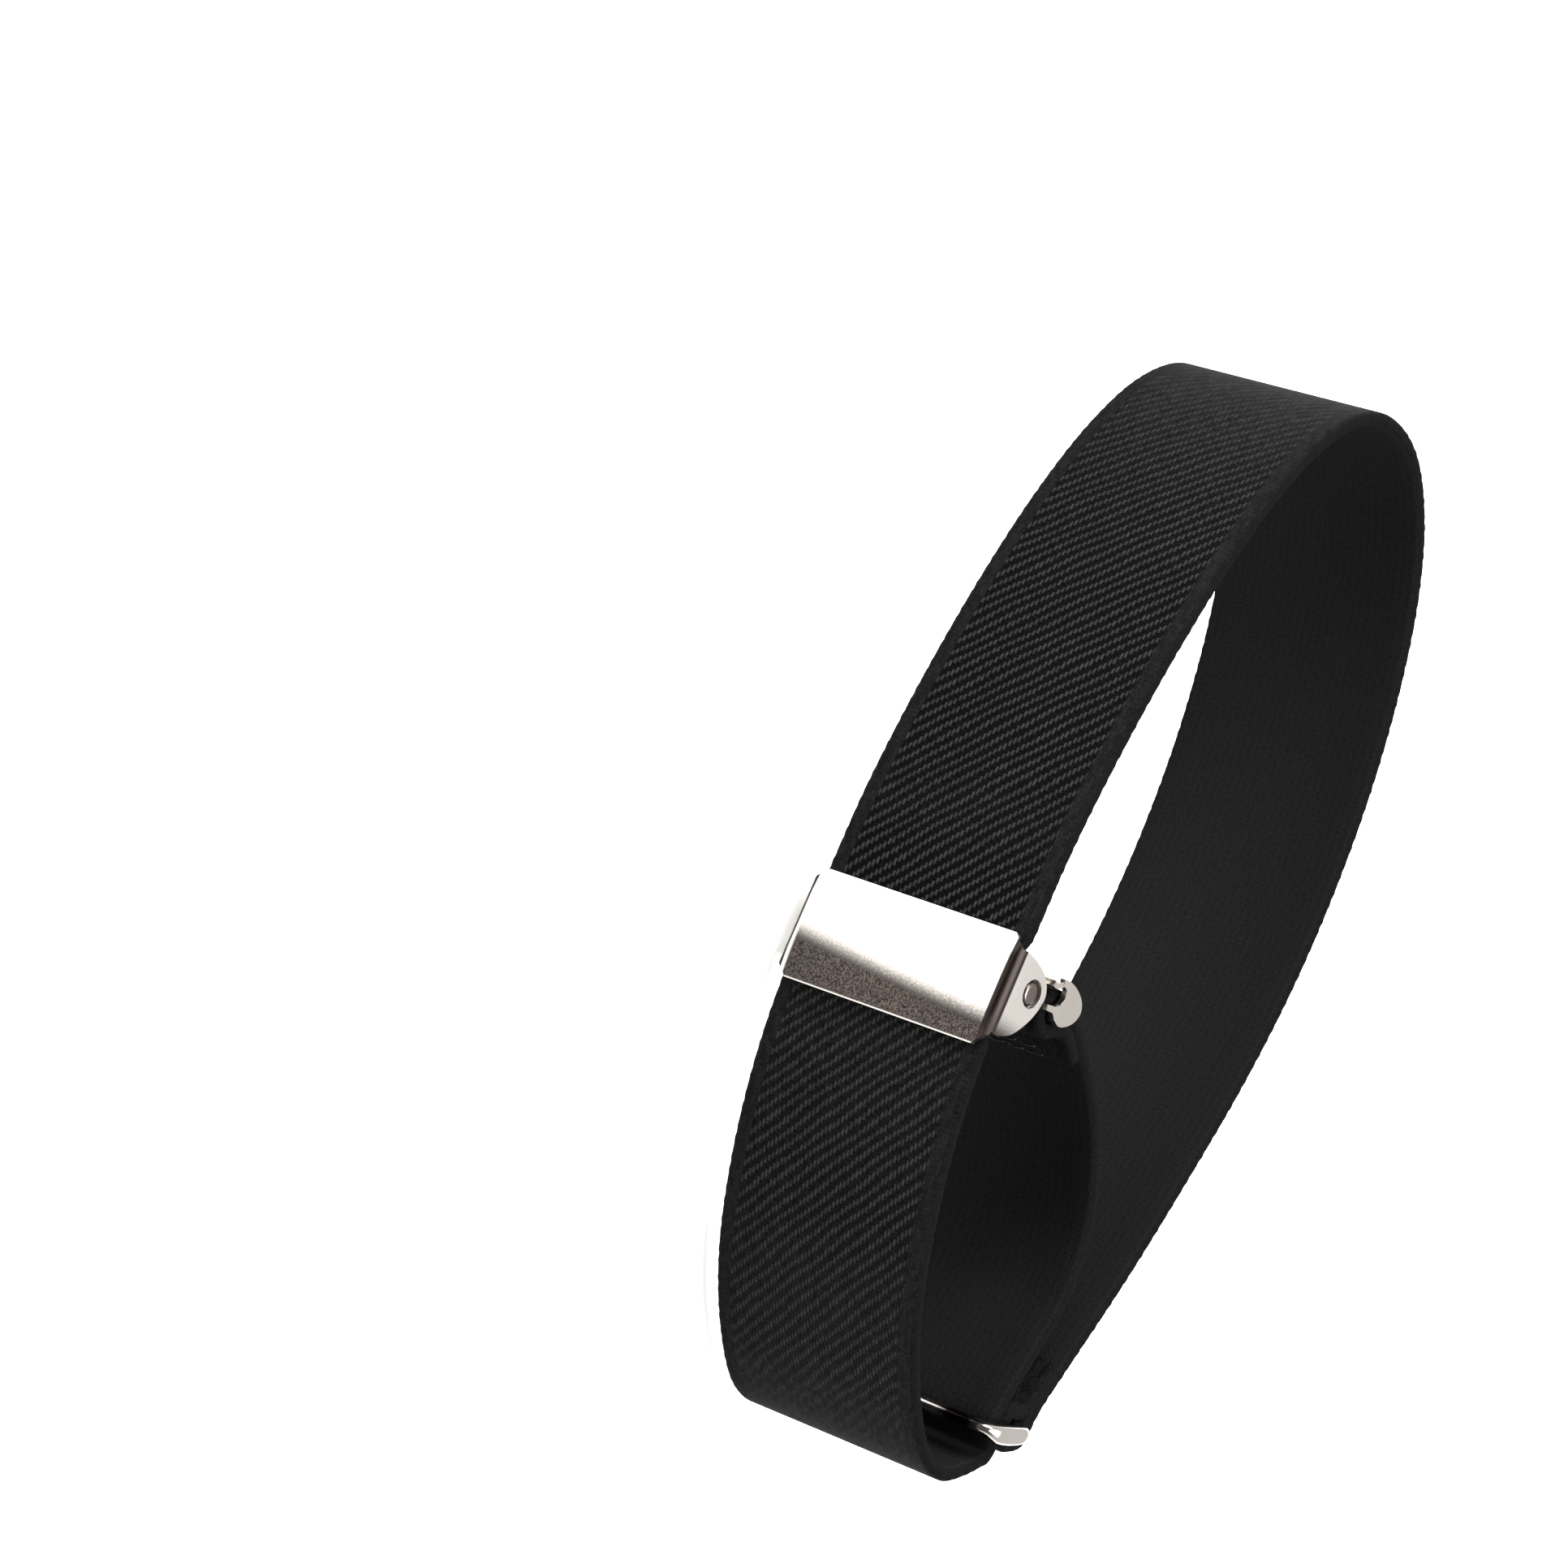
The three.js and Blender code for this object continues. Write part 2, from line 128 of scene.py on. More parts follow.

# Painted dark reflection on a stretch of the ring's long bars, from and to below its upper end, and its
# soft borders
BAR_SHADE_FROM, BAR_SHADE_TO, BAR_SHADE_SOFT = 7.2, 2.0, 1.3

# The lever's bar, the pin, and how the band's ends are folded and sewn
BAR_ALONG, BAR_ACROSS, BAR_RADIUS = 11.8, -14.4, 0.75
PIN_ALONG, PIN_ACROSS = 11.4, -21.0
RING_TAIL, BAR_TAIL, FOLD_SLACK = 9.5, 10.0, 0.15

# Stamped metal: distance within which facets join, their greatest bend, and the angle of a sharp rim
JOIN_WITHIN, FACET_BEND, SHARP_BEND, RIM_SEGMENTS = 0.001, 0.5, 35, 3

# Plating: size of its grain, scale of its clouds, spread of its roughness and depth of its grain
GRAIN_SIZE, CLOUD_SCALE, ROUGH_SPREAD, GRAIN_DEEP = 0.2, 220.0, 0.06, 0.02

# Painted dark reflection on the plate's lower half: where it starts and how far it climbs, as shares of the
# plate's width, how far the grain roughens its border, the border's start and end, the starts and ends of
# the bright rims left out of it, and its roughness
REFLECTION_HALF_FROM, REFLECTION_HALF_CLIMB, REFLECTION_HALF_RAGGED = 0.5, 0.20, 1.6
REFLECTION_HALF_START, REFLECTION_HALF_END = -0.2, 2.6
FOOT_RIM, END_RIM = (0.20, 0.10), (1.0, 1.3)
REFLECTION_HALF_ROUGH = 0.5

# Painted shade on the plate's bends: reach back from its front, in from its upper and lower ends, and their
# softness
BEND_BACK, BEND_UPPER, BEND_LOWER = 1.55, 1.15, 0.85
BEND_BACK_SOFT, BEND_UPPER_SOFT, BEND_LOWER_SOFT = 0.2, 0.12, 0.15

# Colours of the webbing, from painted shade in the weave's gaps to painted highlight on its crests, of
# the painted dark reflection on the plate's lower half, and of the painted shade on its bends and the
# dark reflection painted on the ring's bars, as seen in the photograph
YARN_GAP_PAINTED_SHADE, YARN_CREST_PAINTED_HIGHLIGHT = "#030303", "#303030"
PAINTED_REFLECTION_DARK, PAINTED_REFLECTION_PALE = "#1d1917", "#544d49"
PAINTED_DARK_TINT = "#2a2523"

# Studio: share of light that the floor gives off, its reach, where the surroundings turn bright behind the
# part and overhead, and each light's place, size and watts
FLOOR_GLOW, FLOOR_REACH = 0.35, 3000
BEHIND, OVER = (-0.35, 0.35), (0.88, 0.98)
LIGHTS_AIM = (0, 0, 0.01)
LIGHTS = [("overhead", (0.0, 0.02, 0.80), 0.7, 16.0), ("front_left", (-0.62, -0.38, 0.42), 0.4, 10.5)]

# Camera, from the photograph's view: where it stands, where it looks, its roll, its lens and its sensor
CAMERA_PLACE = (0.06884, -0.42799, 0.25688)
CAMERA_AZIMUTH, CAMERA_ELEVATION, CAMERA_ROLL = -9.51, 33.07, 108.28
CAMERA_LENS, CAMERA_SENSOR = 108.2, 36.0

# Centre line of the band from the ring over the back, the top, the front and the foot: along, across
BAND_LINE = [
    (47.4, 15.6), (43.0, 17.3), (31.0, 22.2), (18.5, 26.4), (5.5, 30.1), (-6.5, 32.1),
    (-18.5, 32.4), (-30.0, 31.1), (-41.0, 28.1), (-50.0, 23.8), (-56.7, 18.2), (-60.9, 11.5),
    (-61.9, 5.0), (-60.4, -1.2), (-56.0, -7.0), (-49.0, -12.0), (-39.5, -16.3), (-28.0, -19.8),
    (-15.0, -22.5), (-3.0, -24.0), (6.0, -24.2), (19.0, -24.2), (28.0, -22.7), (37.0, -19.6),
    (45.5, -15.0), (52.5, -8.8), (57.0, -2.3), (57.7, 2.5), (56.5, 5.8), (55.2, 8.1), (54.0, 9.7),
    (52.7, 9.5), (51.2, 8.1),
]

# Centre line of the inner run from the ring back up to the lever: along, across
INNER_LINE = [
    (47.6, 8.6), (42.6, 10.2), (36.0, 11.9), (28.5, 10.7), (21.5, 6.1), (16.6, 0.6), (13.0, -5.4),
    (11.0, -9.6), (10.1, -12.6),
]


def linear(hex_colour):
    """An sRGB hex colour as linear red, green, blue and full alpha."""
    parts = [int(hex_colour[i:i + 2], 16) / 255 for i in (1, 3, 5)]
    rgb = [c / 12.92 if c <= 0.04045 else ((c + 0.055) / 1.055) ** 2.4 for c in parts]
    return (*rgb, 1.0)


def connect(tree, made, inputs):
    """Gives a node's sockets their values or links; a node stands for its own first output."""
    for name, value in inputs.items():
        source = value.outputs[0] if isinstance(value, bpy.types.Node) else value
        if isinstance(source, bpy.types.NodeSocket):
            tree.links.new(source, made.inputs[name])
        else:
            made.inputs[name].default_value = source


def node(tree, kind, settings=None, inputs=None):
    """Adds one shader node: settings are its own properties, inputs its sockets' values or links."""
    made = tree.nodes.new(kind)
    for name, value in (settings or {}).items():
        setattr(made, name, value)
    connect(tree, made, inputs or {})
    return made


def new_material(name):
    """A new material, with its node tree and its shader."""
    made = bpy.data.materials.new(name)
    made.use_nodes = True
    return made, made.node_tree, made.node_tree.nodes["Principled BSDF"]


def smooth(knots, steps):
    """Points on the centripetal Catmull-Rom curve through the knots, steps to an interval.

    Each interval is the cubic whose end slopes come from its neighbours, with chord lengths to the power
    of a half as its parameter spacing.
    """
    p = np.asarray(knots, float)
    p = np.vstack([2 * p[0] - p[1], p, 2 * p[-1] - p[-2]])
    d = np.sqrt(np.linalg.norm(np.diff(p, axis=0), axis=1))[:, None]
    a, b, c, e = p[:-3], p[1:-2], p[2:-1], p[3:]
    d0, d1, d2 = d[:-2], d[1:-1], d[2:]
    start = ((b - a) / d0 - (c - a) / (d0 + d1) + (c - b) / d1) * d1
    end = ((c - b) / d1 - (e - b) / (d1 + d2) + (e - c) / d2) * d1
    t = (np.arange(steps) / steps)[None, :, None]
    b, c, start, end = (x[:, None, :] for x in (b, c, start, end))
    cubic = b + start * t + (3 * (c - b) - 2 * start - end) * t ** 2 + (2 * (b - c) + start + end) * t ** 3
    return np.vstack([cubic.reshape(-1, 2), p[-2]])


def shifted(line, distance):
    """The line moved to its left by a distance, along the normals of its central differences."""
    after = np.vstack([line[1:], line[-1:]])
    before = np.vstack([line[:1], line[:-1]])
    run = (after - before) / np.linalg.norm(after - before, axis=1)[:, None]
    return line + distance * np.column_stack([-run[:, 1], run[:, 0]])


def lengths(line):
    """Arc length at each point of a polyline."""
    return np.concatenate([[0], np.cumsum(np.linalg.norm(np.diff(line, axis=0), axis=1))])


def ring_fold():
    """Knots of the band round the ring's back bar, from the inner face through the window outwards.

    Columns: place up the ring, its inner or outer face, direction from there in degrees, and reach.
    """
    snug = GAP + BAND_THICK / 2
    loose = snug + FOLD_SLACK
    far = RING_HEIGHT / 2
    near = far - RING_STOCK
    lean = math.radians(RING_LEAN)
    rows = [
        (far - GAP, -1, -90, snug), (near, -1, -90, snug), (near, -1, -135, snug), (near, -1, -180, snug),
        (near, 1, 180, snug), (near, 1, 135, loose), (near, 1, 90, loose), (far, 1, 90, snug),
        (far, 1, 60, snug), (far, 1, 32, snug),
    ]
    offset, side, turn, reach = np.array(rows, float).T
    offset = offset + reach * np.cos(np.radians(turn))
    side = side * RING_THICK / 2 + reach * np.sin(np.radians(turn))
    return np.column_stack([
        RING_ALONG - math.sin(lean) * offset + math.cos(lean) * side,
        RING_ACROSS + math.cos(lean) * offset + math.sin(lean) * side,
    ])


def bar_fold():
    """Knots of the half turn round the lever's bar."""
    turn = np.linspace(0, math.pi, 5)
    reach = BAR_RADIUS + GAP + BAND_THICK / 2
    return np.column_stack([BAR_ALONG - np.cos(turn) * reach, BAR_ACROSS - np.sin(turn) * reach])


def tail_knots(line, length, skip, side):
    """Knots of a folded end laid against the band, from the fold to its cut end."""
    kept = line[:np.searchsorted(lengths(line), length) + 1]
    laid = shifted(kept, side * (BAND_THICK - FUSE))
    return laid[skip::KNOT_STEPS]


def frame_shift():
    """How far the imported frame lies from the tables' origin, from the pin's place in both."""
    low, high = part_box("pivot_pin")
    return np.array([(low.x + high.x) / 2, (low.y + high.y) / 2]) / MM - [PIN_ALONG, PIN_ACROSS]


def strap_line():
    """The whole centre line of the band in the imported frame, from cut end to cut end."""
    ring_turn, bar_turn = ring_fold(), bar_fold()
    middle = np.vstack([BAND_LINE, INNER_LINE])
    run = smooth(np.vstack([ring_turn[-1:], middle, bar_turn[:1]]), KNOT_STEPS)
    ring_tail = tail_knots(run, RING_TAIL, KNOT_STEPS, 1)[::-1]
    bar_tail = tail_knots(run[::-1], BAR_TAIL, 2 * KNOT_STEPS, -1)
    line = smooth(np.vstack([ring_tail, ring_turn, middle, bar_turn, bar_tail]), LINE_STEPS)
    return line + frame_shift()


def even(line, step):
    """The line's points at even steps of its own length, and the length at each."""
    at = lengths(line)
    want = np.linspace(0, at[-1], int(at[-1] / step))
    return np.column_stack([np.interp(want, at, line[:, k]) for k in (0, 1)]), want


def mesh_piece(name, points, faces, material):
    """A mesh object in metres from points in millimetres and a list of faces."""
    mesh = bpy.data.meshes.new(name)
    mesh.from_pydata(np.asarray(points) * MM, [], faces)
    mesh.materials.append(material)
    mesh.validate()
    made = bpy.data.objects.new(name, mesh)
    bpy.context.scene.collection.objects.link(made)
    return made


def fill_ends(piece):
    """Closes every open end of a piece with one face, and turns all faces outwards."""
    work = bmesh.new()
    work.from_mesh(piece.data)
    bmesh.ops.holes_fill(work, edges=[e for e in work.edges if e.is_boundary], sides=2 * THREAD_SIDES)
    bmesh.ops.recalc_face_normals(work, faces=work.faces)
    work.to_mesh(piece.data)
    work.free()


def grid_faces(along, around):
    """Quads of a grid that is open along its path and closed around its section."""
    i, j = np.meshgrid(np.arange(along - 1), np.arange(around), indexing="ij")
    k = (j + 1) % around
    corners = [i * around + j, (i + 1) * around + j, (i + 1) * around + k, i * around + k]
    return np.stack(corners, axis=-1).reshape(-1, 4)


def band_section():
    """Closed section of the webbing: outer face up, rounded edge, inner face down, rounded edge.

    Columns are the offset to the left of the run, the height above mid width, and the inner face's share.
    """
    half = BAND_THICK / 2
    flat = BAND_WIDTH / 2 - EDGE_ROUND
    up = np.linspace(-flat, flat, OUTER_POINTS)
    down = np.linspace(flat, -flat, INNER_POINTS)
    turn = np.linspace(0, math.pi, EDGE_POINTS)[1:-1]
    top = np.column_stack([-half * np.cos(turn), flat + EDGE_ROUND * np.sin(turn)])
    foot = np.column_stack([half * np.cos(turn), -flat - EDGE_ROUND * np.sin(turn)])
    rows = np.vstack([
        np.column_stack([np.full_like(up, -half), up]), top,
        np.column_stack([np.full_like(down, half), down]), foot,
    ])
    inner = np.clip((rows[:, 0] + half) / BAND_THICK, 0, 1)
    return np.column_stack([rows, inner])


def pressed_in(raw):
    """Depth by which each edge is pressed in: a trapezoid over the stretch between the plate's ears."""
    ramp = np.minimum(raw[:, 0] - PRESSED_FROM, PRESSED_TO - raw[:, 0]) / PRESSED_RUN + 1
    return PRESSED_DEEP * np.clip(ramp, 0, 1) * (raw[:, 1] < FRONT_RUN)


def rib_relief(centre, at):
    """Share of full rib height: 1 / (1 + (SLACKEN * bend)^2) over arc length, and low at both sewn ends.

    The webbing is drawn out on its turns, and pressed flat by the sewing.
    """
    run = np.gradient(centre, at, axis=0)
    turn = np.gradient(run, at, axis=0)
    window = np.ones(BEND_WINDOW) / BEND_WINDOW
    bend = np.convolve(run[:, 0] * turn[:, 1] - run[:, 1] * turn[:, 0], window, mode="same")
    from_end = np.minimum(at, at[-1] - at)
    return np.clip((from_end - SEWN_REACH) / SEWN_FADE, SEWN_RELIEF, 1) / (1 + (SLACKEN * bend) ** 2)


def raised_ribs(along, height):
    """Rise of the slanting ribs: -RIB_RISE * cos(2 pi (along + shift(height)) / RIB_PITCH).

    The shift is that of the yarn at that height, taken evenly, and the rise dies out at the plain edges.
    """
    shift = (height / YARN_STEP - 0.5) * YARN_SHIFT + STRAY / 2
    inside = np.clip((PLAIN_EDGE + PLAIN_SOFT - np.abs(height)) / (2 * PLAIN_SOFT), 0, 1)
    return -RIB_RISE * inside * np.cos(2 * math.pi * (along + shift) / RIB_PITCH)


def wavering(section, at):
    """Height added at each rounded edge by the outermost yarns, over arc length and the section."""
    waves = sum(rise * np.sin(at * 2 * math.pi / pitch + phase) for rise, pitch, phase in EDGE_WAVES)
    beyond = np.clip(np.abs(section[:, 1]) - BAND_WIDTH / 2 + EDGE_ROUND, 0, None) / EDGE_ROUND
    return np.sign(section[:, 1]) * beyond * (waves[:, None] - EDGE_SUNK)


def webbing_band(name, line, material):
    """The band: the section carried along the centre line, closed at both cut ends.

    A point is centre(s) + (offset - rib) * left normal(s) + height * Z, over arc length s and the section,
    with rib only on the outer face. The height shrinks where the ears press the edges, and wavers by the
    outermost yarns' own thickness. The weave's own place along the band wanders by up to 0.2 mm.
    """
    centre, at = even(line, STATION)
    section = band_section()
    along, around = len(centre), len(section)
    left = shifted(centre, 1.0) - centre
    s, z = at[:, None], section[None, :, 1]
    woven = s + sum(far * np.sin(up * s + over * z) for far, up, over in WEAVE_WAVES)
    relief = rib_relief(centre, at)
    rib = raised_ribs(woven, z) * relief[:, None] * (section[None, :, 2] == 0)
    plan = centre[:, None, :] + (section[None, :, 0] - rib)[..., None] * left[:, None, :]
    shrink = 1 - pressed_in(centre - frame_shift()) / (BAND_WIDTH / 2)
    height = BAND_MIDDLE + z * shrink[:, None] + wavering(section, at)
    points = np.concatenate([plan, height[..., None]], axis=2).reshape(-1, 3)
    last = (along - 1) * around
    caps = [list(range(around)), list(range(last + around - 1, last - 1, -1))]
    made = mesh_piece(name, points, grid_faces(along, around).tolist() + caps, material)
    weave = np.stack(np.broadcast_arrays(z, woven, section[None, :, 2]), axis=-1).astype(np.float32)
    stored = made.data.attributes.new("weave", "FLOAT_VECTOR", "POINT")
    stored.data.foreach_set("vector", weave.ravel())
    stored = made.data.attributes.new("rib_relief", "FLOAT", "POINT")
    stored.data.foreach_set("value", np.repeat(relief, around).astype(np.float32))
    made.data.shade_smooth()
    return made


def stitch_tube():
    """One stitch, over stations and sides: how far out, how far aside and how far up each point lies.

    It is a tube along a half sine arch: rise * sin(pi t) - sunk outwards and t * length up.
    """
    t = np.linspace(0, 1, STITCH_STATIONS)[:, None]
    turn = np.linspace(0, 2 * math.pi, THREAD_SIDES + 1)[None, :-1]
    out = STITCH_RISE * np.sin(math.pi * t) - STITCH_SUNK + THREAD_RADIUS * np.cos(turn)
    aside, up = THREAD_RADIUS * np.sin(turn), t * STITCH_LENGTH
    return np.stack(np.broadcast_arrays(out, aside, up))


def stitch_starts(line):
    """Where each row of sewing crosses the plan, and its direction outwards from the band."""
    at = lengths(line)
    left = shifted(line, 1.0) - line
    starts, outs = [], []
    for from_end, side, through in STITCH_PLACES:
        s = from_end if from_end > 0 else at[-1] + from_end
        here = np.array([np.interp(s, at, line[:, k]) for k in (0, 1)])
        across = np.array([np.interp(s, at, left[:, k]) for k in (0, 1)]) * side
        starts.append(here + across * (BAND_THICK / 2 + through))
        outs.append(across if through >= 0 else -across)
    return np.array(starts), np.array(outs)


def stitch_rows(name, line, material):
    """Rows of sewing across both folded ends, on both sides of the doubled band.

    A point of a stitch is start + out * outward + aside * beside + (foot + up) * Z, over rows, feet,
    stations and sides.
    """
    starts, outs = stitch_starts(line)
    beside = np.column_stack([-outs[:, 1], outs[:, 0]])
    foot = np.arange(-BAND_WIDTH / 2 + STITCH_BELOW, BAND_WIDTH / 2 - STITCH_ABOVE, STITCH_PITCH)
    out, aside, up = stitch_tube()
    starts, outs, beside = (v[:, None, None, None, :] for v in (starts, outs, beside))
    plan = starts + out[..., None] * outs + aside[..., None] * beside
    plan = np.broadcast_to(plan, (len(starts), len(foot), *out.shape, 2))
    height = np.broadcast_to(BAND_MIDDLE + foot[None, :, None, None] + up, plan.shape[:-1])
    points = np.concatenate([plan, height[..., None]], axis=-1)
    firsts = np.arange(len(starts) * len(foot)) * out.size
    faces = (grid_faces(*out.shape)[None, ...] + firsts[:, None, None]).reshape(-1, 4)
    made = mesh_piece(name, points.reshape(-1, 3), faces.tolist(), material)
    fill_ends(made)
    made.data.shade_smooth()
    return made


def pressed_steel(node_name, name, rim, material):
    """A finer copy of a metal piece: its facets joined, its cut rims rounded off and its bends smooth."""
    work = bmesh.new()
    work.from_mesh(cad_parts[node_name].data)
    bmesh.ops.remove_doubles(work, verts=work.verts, dist=JOIN_WITHIN * MM)
    bmesh.ops.dissolve_limit(work, angle_limit=math.radians(FACET_BEND), verts=work.verts, edges=work.edges)
    mesh = bpy.data.meshes.new(name)
    work.to_mesh(mesh)
    work.free()
    mesh.materials.clear()
    mesh.materials.append(material)
    made = bpy.data.objects.new(name, mesh)
    bpy.context.scene.collection.objects.link(made)
    round_off = made.modifiers.new("rounded_rim", "BEVEL")
    round_off.width = rim * MM
    round_off.segments = RIM_SEGMENTS
    round_off.limit_method = "ANGLE"
    round_off.angle_limit = math.radians(SHARP_BEND)
    round_off.harden_normals = True
    made.data.shade_smooth()
    made.data.set_sharp_from_angle(angle=math.radians(SHARP_BEND))
    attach(made, "root")
    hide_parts(node_name)
    return made


def rounded_oblong(half_width, half_height, radius):
    """Closed oblong outline: four straight sides and four quarter rounds, an equal count on each."""
    t = np.linspace(0, 1, CORNER_STATIONS + 1)[:-1]
    turn = np.concatenate([np.zeros(CORNER_STATIONS), t * math.pi / 2])
    slide = np.concatenate([t * 2 - 1, np.ones(CORNER_STATIONS)])
    parts = []
    for quarter in range(4):
        a, b = (half_width, half_height) if quarter % 2 == 0 else (half_height, half_width)
        x = a - radius + radius * np.cos(turn)
        y = slide * (b - radius) + radius * np.sin(turn)
        back = quarter * math.pi / 2
        parts.append(np.column_stack([x * math.cos(back) - y * math.sin(back),
                                      x * math.sin(back) + y * math.cos(back)]))
    return np.vstack(parts)


def oblong_ring(name, material):
    """The ring: a rounded section carried round an oblong.

    Between a point of the outer outline and its match on the window, the section is
    middle + half_span * c + half_thick * s * across, with c and s a superellipse of power
    2 / RING_SQUARE. The short bars swell towards the foot of the loop.
    """
    outer = rounded_oblong(RING_HEIGHT / 2, RING_LENGTH / 2, RING_CORNER)
    inner = rounded_oblong(RING_HEIGHT / 2 - RING_STOCK, RING_LENGTH / 2 - RING_END, WINDOW_CORNER)
    turn = np.linspace(0, 2 * math.pi, RING_SIDES + 1)[:-1]
    c, s = (np.sign(f) * np.abs(f) ** RING_SQUARE for f in (np.cos(turn), np.sin(turn)))
    middle, span = (outer + inner) / 2, (outer - inner) / 2
    flat = middle[:, None, :] + span[:, None, :] * c[None, :, None]
    beyond = np.clip((np.abs(middle[:, 1]) - RING_LENGTH / 2 + SWELL_REACH) / SWELL_RUN, 0, 1)
    swell = beyond * RING_SWELL * (1 - (middle[:, 0] / RING_HEIGHT * 2) ** 2)
    side = s[None, :] * (RING_THICK + swell[:, None]) / 2 + swell[:, None] / 2
    lean = math.radians(RING_LEAN)
    centre = np.array([RING_ALONG, RING_ACROSS]) + frame_shift()
    x = centre[0] - math.sin(lean) * flat[..., 0] + math.cos(lean) * side
    y = centre[1] + math.cos(lean) * flat[..., 0] + math.sin(lean) * side
    points = np.stack([x, y, flat[..., 1] + RING_LENGTH / 2], axis=-1).reshape(-1, 3)
    faces = grid_faces(len(outer) + 1, RING_SIDES) % len(points)
    made = mesh_piece(name, points, faces.tolist(), material)
    fill_ends(made)
    made.data.shade_smooth()
    return made


def summed(tree, level, parts):
    """A level plus each part times its share."""
    total = level
    for part, share in parts:
        total = node(tree, MATH, {"operation": "MULTIPLY_ADD"}, {0: part, 1: share, 2: total})
    return total


def rib_floats(tree, across, along):
    """Height of the warp floats in their slanting ribs.

    Also gives the round of each yarn, each float's own share of light, and each yarn's own stray. Each
    yarn moves its floats on by about its own spacing, so that the ribs slant near 45 degrees.
    """
    yarn = node(tree, MATH, {"operation": "DIVIDE"}, {0: across, 1: YARN_STEP})
    index = node(tree, MATH, {"operation": "FLOOR"}, {0: yarn})
    in_yarn = node(tree, MATH, {"operation": "FRACT"}, {0: yarn})
    stray = node(tree, "ShaderNodeTexWhiteNoise", {"noise_dimensions": "1D"}, {"W": index})
    moved = summed(tree, along, [(index, YARN_SHIFT), (stray, STRAY)])
    # The floats take a little under half of each rib's pitch
    ribs = node(tree, MATH, {"operation": "DIVIDE"}, {0: moved, 1: RIB_PITCH})
    in_float = node(tree, MATH, {"operation": "FRACT"}, {0: ribs})
    from_middle = node(tree, MATH, {"operation": "SUBTRACT"}, {0: in_float, 1: 0.5})
    off = node(tree, MATH, {"operation": "DIVIDE"}, {0: from_middle, 1: FLOAT_HALF})
    off_squared = node(tree, MATH, {"operation": "MULTIPLY"}, {0: off, 1: off})
    left = node(tree, MATH, {"operation": "SUBTRACT", "use_clamp": True}, {0: 1.0, 1: off_squared})
    hump = node(tree, MATH, {"operation": "SQRT"}, {0: left})
    half_turn = node(tree, MATH, {"operation": "MULTIPLY"}, {0: in_yarn, 1: math.pi})
    round_yarn = node(tree, MATH, {"operation": "SINE"}, {0: half_turn})
    fuller = node(tree, MATH, {"operation": "POWER"}, {0: round_yarn, 1: FLOAT_ROUND})
    bead = node(tree, MATH, {"operation": "MULTIPLY"}, {0: hump, 1: fuller})
    # Each float catches the light a little differently from its neighbours
    halves = node(tree, MATH, {"operation": "DIVIDE"}, {0: moved, 1: RIB_PITCH / 2})
    row = node(tree, MATH, {"operation": "FLOOR"}, {0: halves})
    cell = node(tree, "ShaderNodeCombineXYZ", inputs={0: index, 1: row})
    uneven = node(tree, "ShaderNodeTexWhiteNoise", {"noise_dimensions": "2D"}, {"Vector": cell})
    light = summed(tree, FLOAT_LEAST, [(uneven, FLOAT_ADDED)])
    lit_bead = node(tree, MATH, {"operation": "MULTIPLY"}, {0: bead, 1: light})
    return lit_bead, round_yarn, uneven, stray


def weave_height(tree, across, along, inner, middle):
    """Height of the weave: ribs on the outer face, plain edges beside them, and a smoother inner face."""
    bead, round_yarn, uneven, stray = rib_floats(tree, across, along)
    along_turn = node(tree, MATH, {"operation": "MULTIPLY"}, {0: along, 1: 2 * math.pi / PICK_PITCH})
    picks = node(tree, MATH, {"operation": "SINE"}, {0: along_turn})
    across_turn = node(tree, MATH, {"operation": "MULTIPLY"}, {0: across, 1: 2 * math.pi / INNER_PITCH})
    lines = node(tree, MATH, {"operation": "SINE"}, {0: across_turn})
    # Even, finely grained weave where the ribs lie flat
    relief = node(tree, "ShaderNodeAttribute", {"attribute_name": "rib_relief"}).outputs["Fac"]
    flat = summed(tree, 0.08, [(round_yarn, 0.10), (uneven, 0.22)])
    ribbed = node(tree, MIX, {"data_type": "FLOAT"}, {"Factor": relief, 2: flat, 3: bead})
    # Plain edges, where the yarns lie straight, with a ragged border
    plain = summed(tree, 0.08, [(round_yarn, 0.06), (picks, 0.02), (uneven, 0.14)])
    ragged = summed(tree, middle, [(stray, 0.5)])
    edge = node(tree, RANGE,
                inputs={"Value": ragged, "From Min": PLAIN_EDGE, "From Max": PLAIN_EDGE + PLAIN_SOFT})
    outer = node(tree, MIX, {"data_type": "FLOAT"}, {"Factor": edge, 2: ribbed, 3: plain})
    back = summed(tree, 0.26, [(lines, 0.02), (picks, 0.008)])
    face = node(tree, RANGE, inputs={"Value": inner, "From Min": 0.02, "From Max": 0.3})
    return node(tree, MIX, {"data_type": "FLOAT"}, {"Factor": face, 2: outer, 3: back})


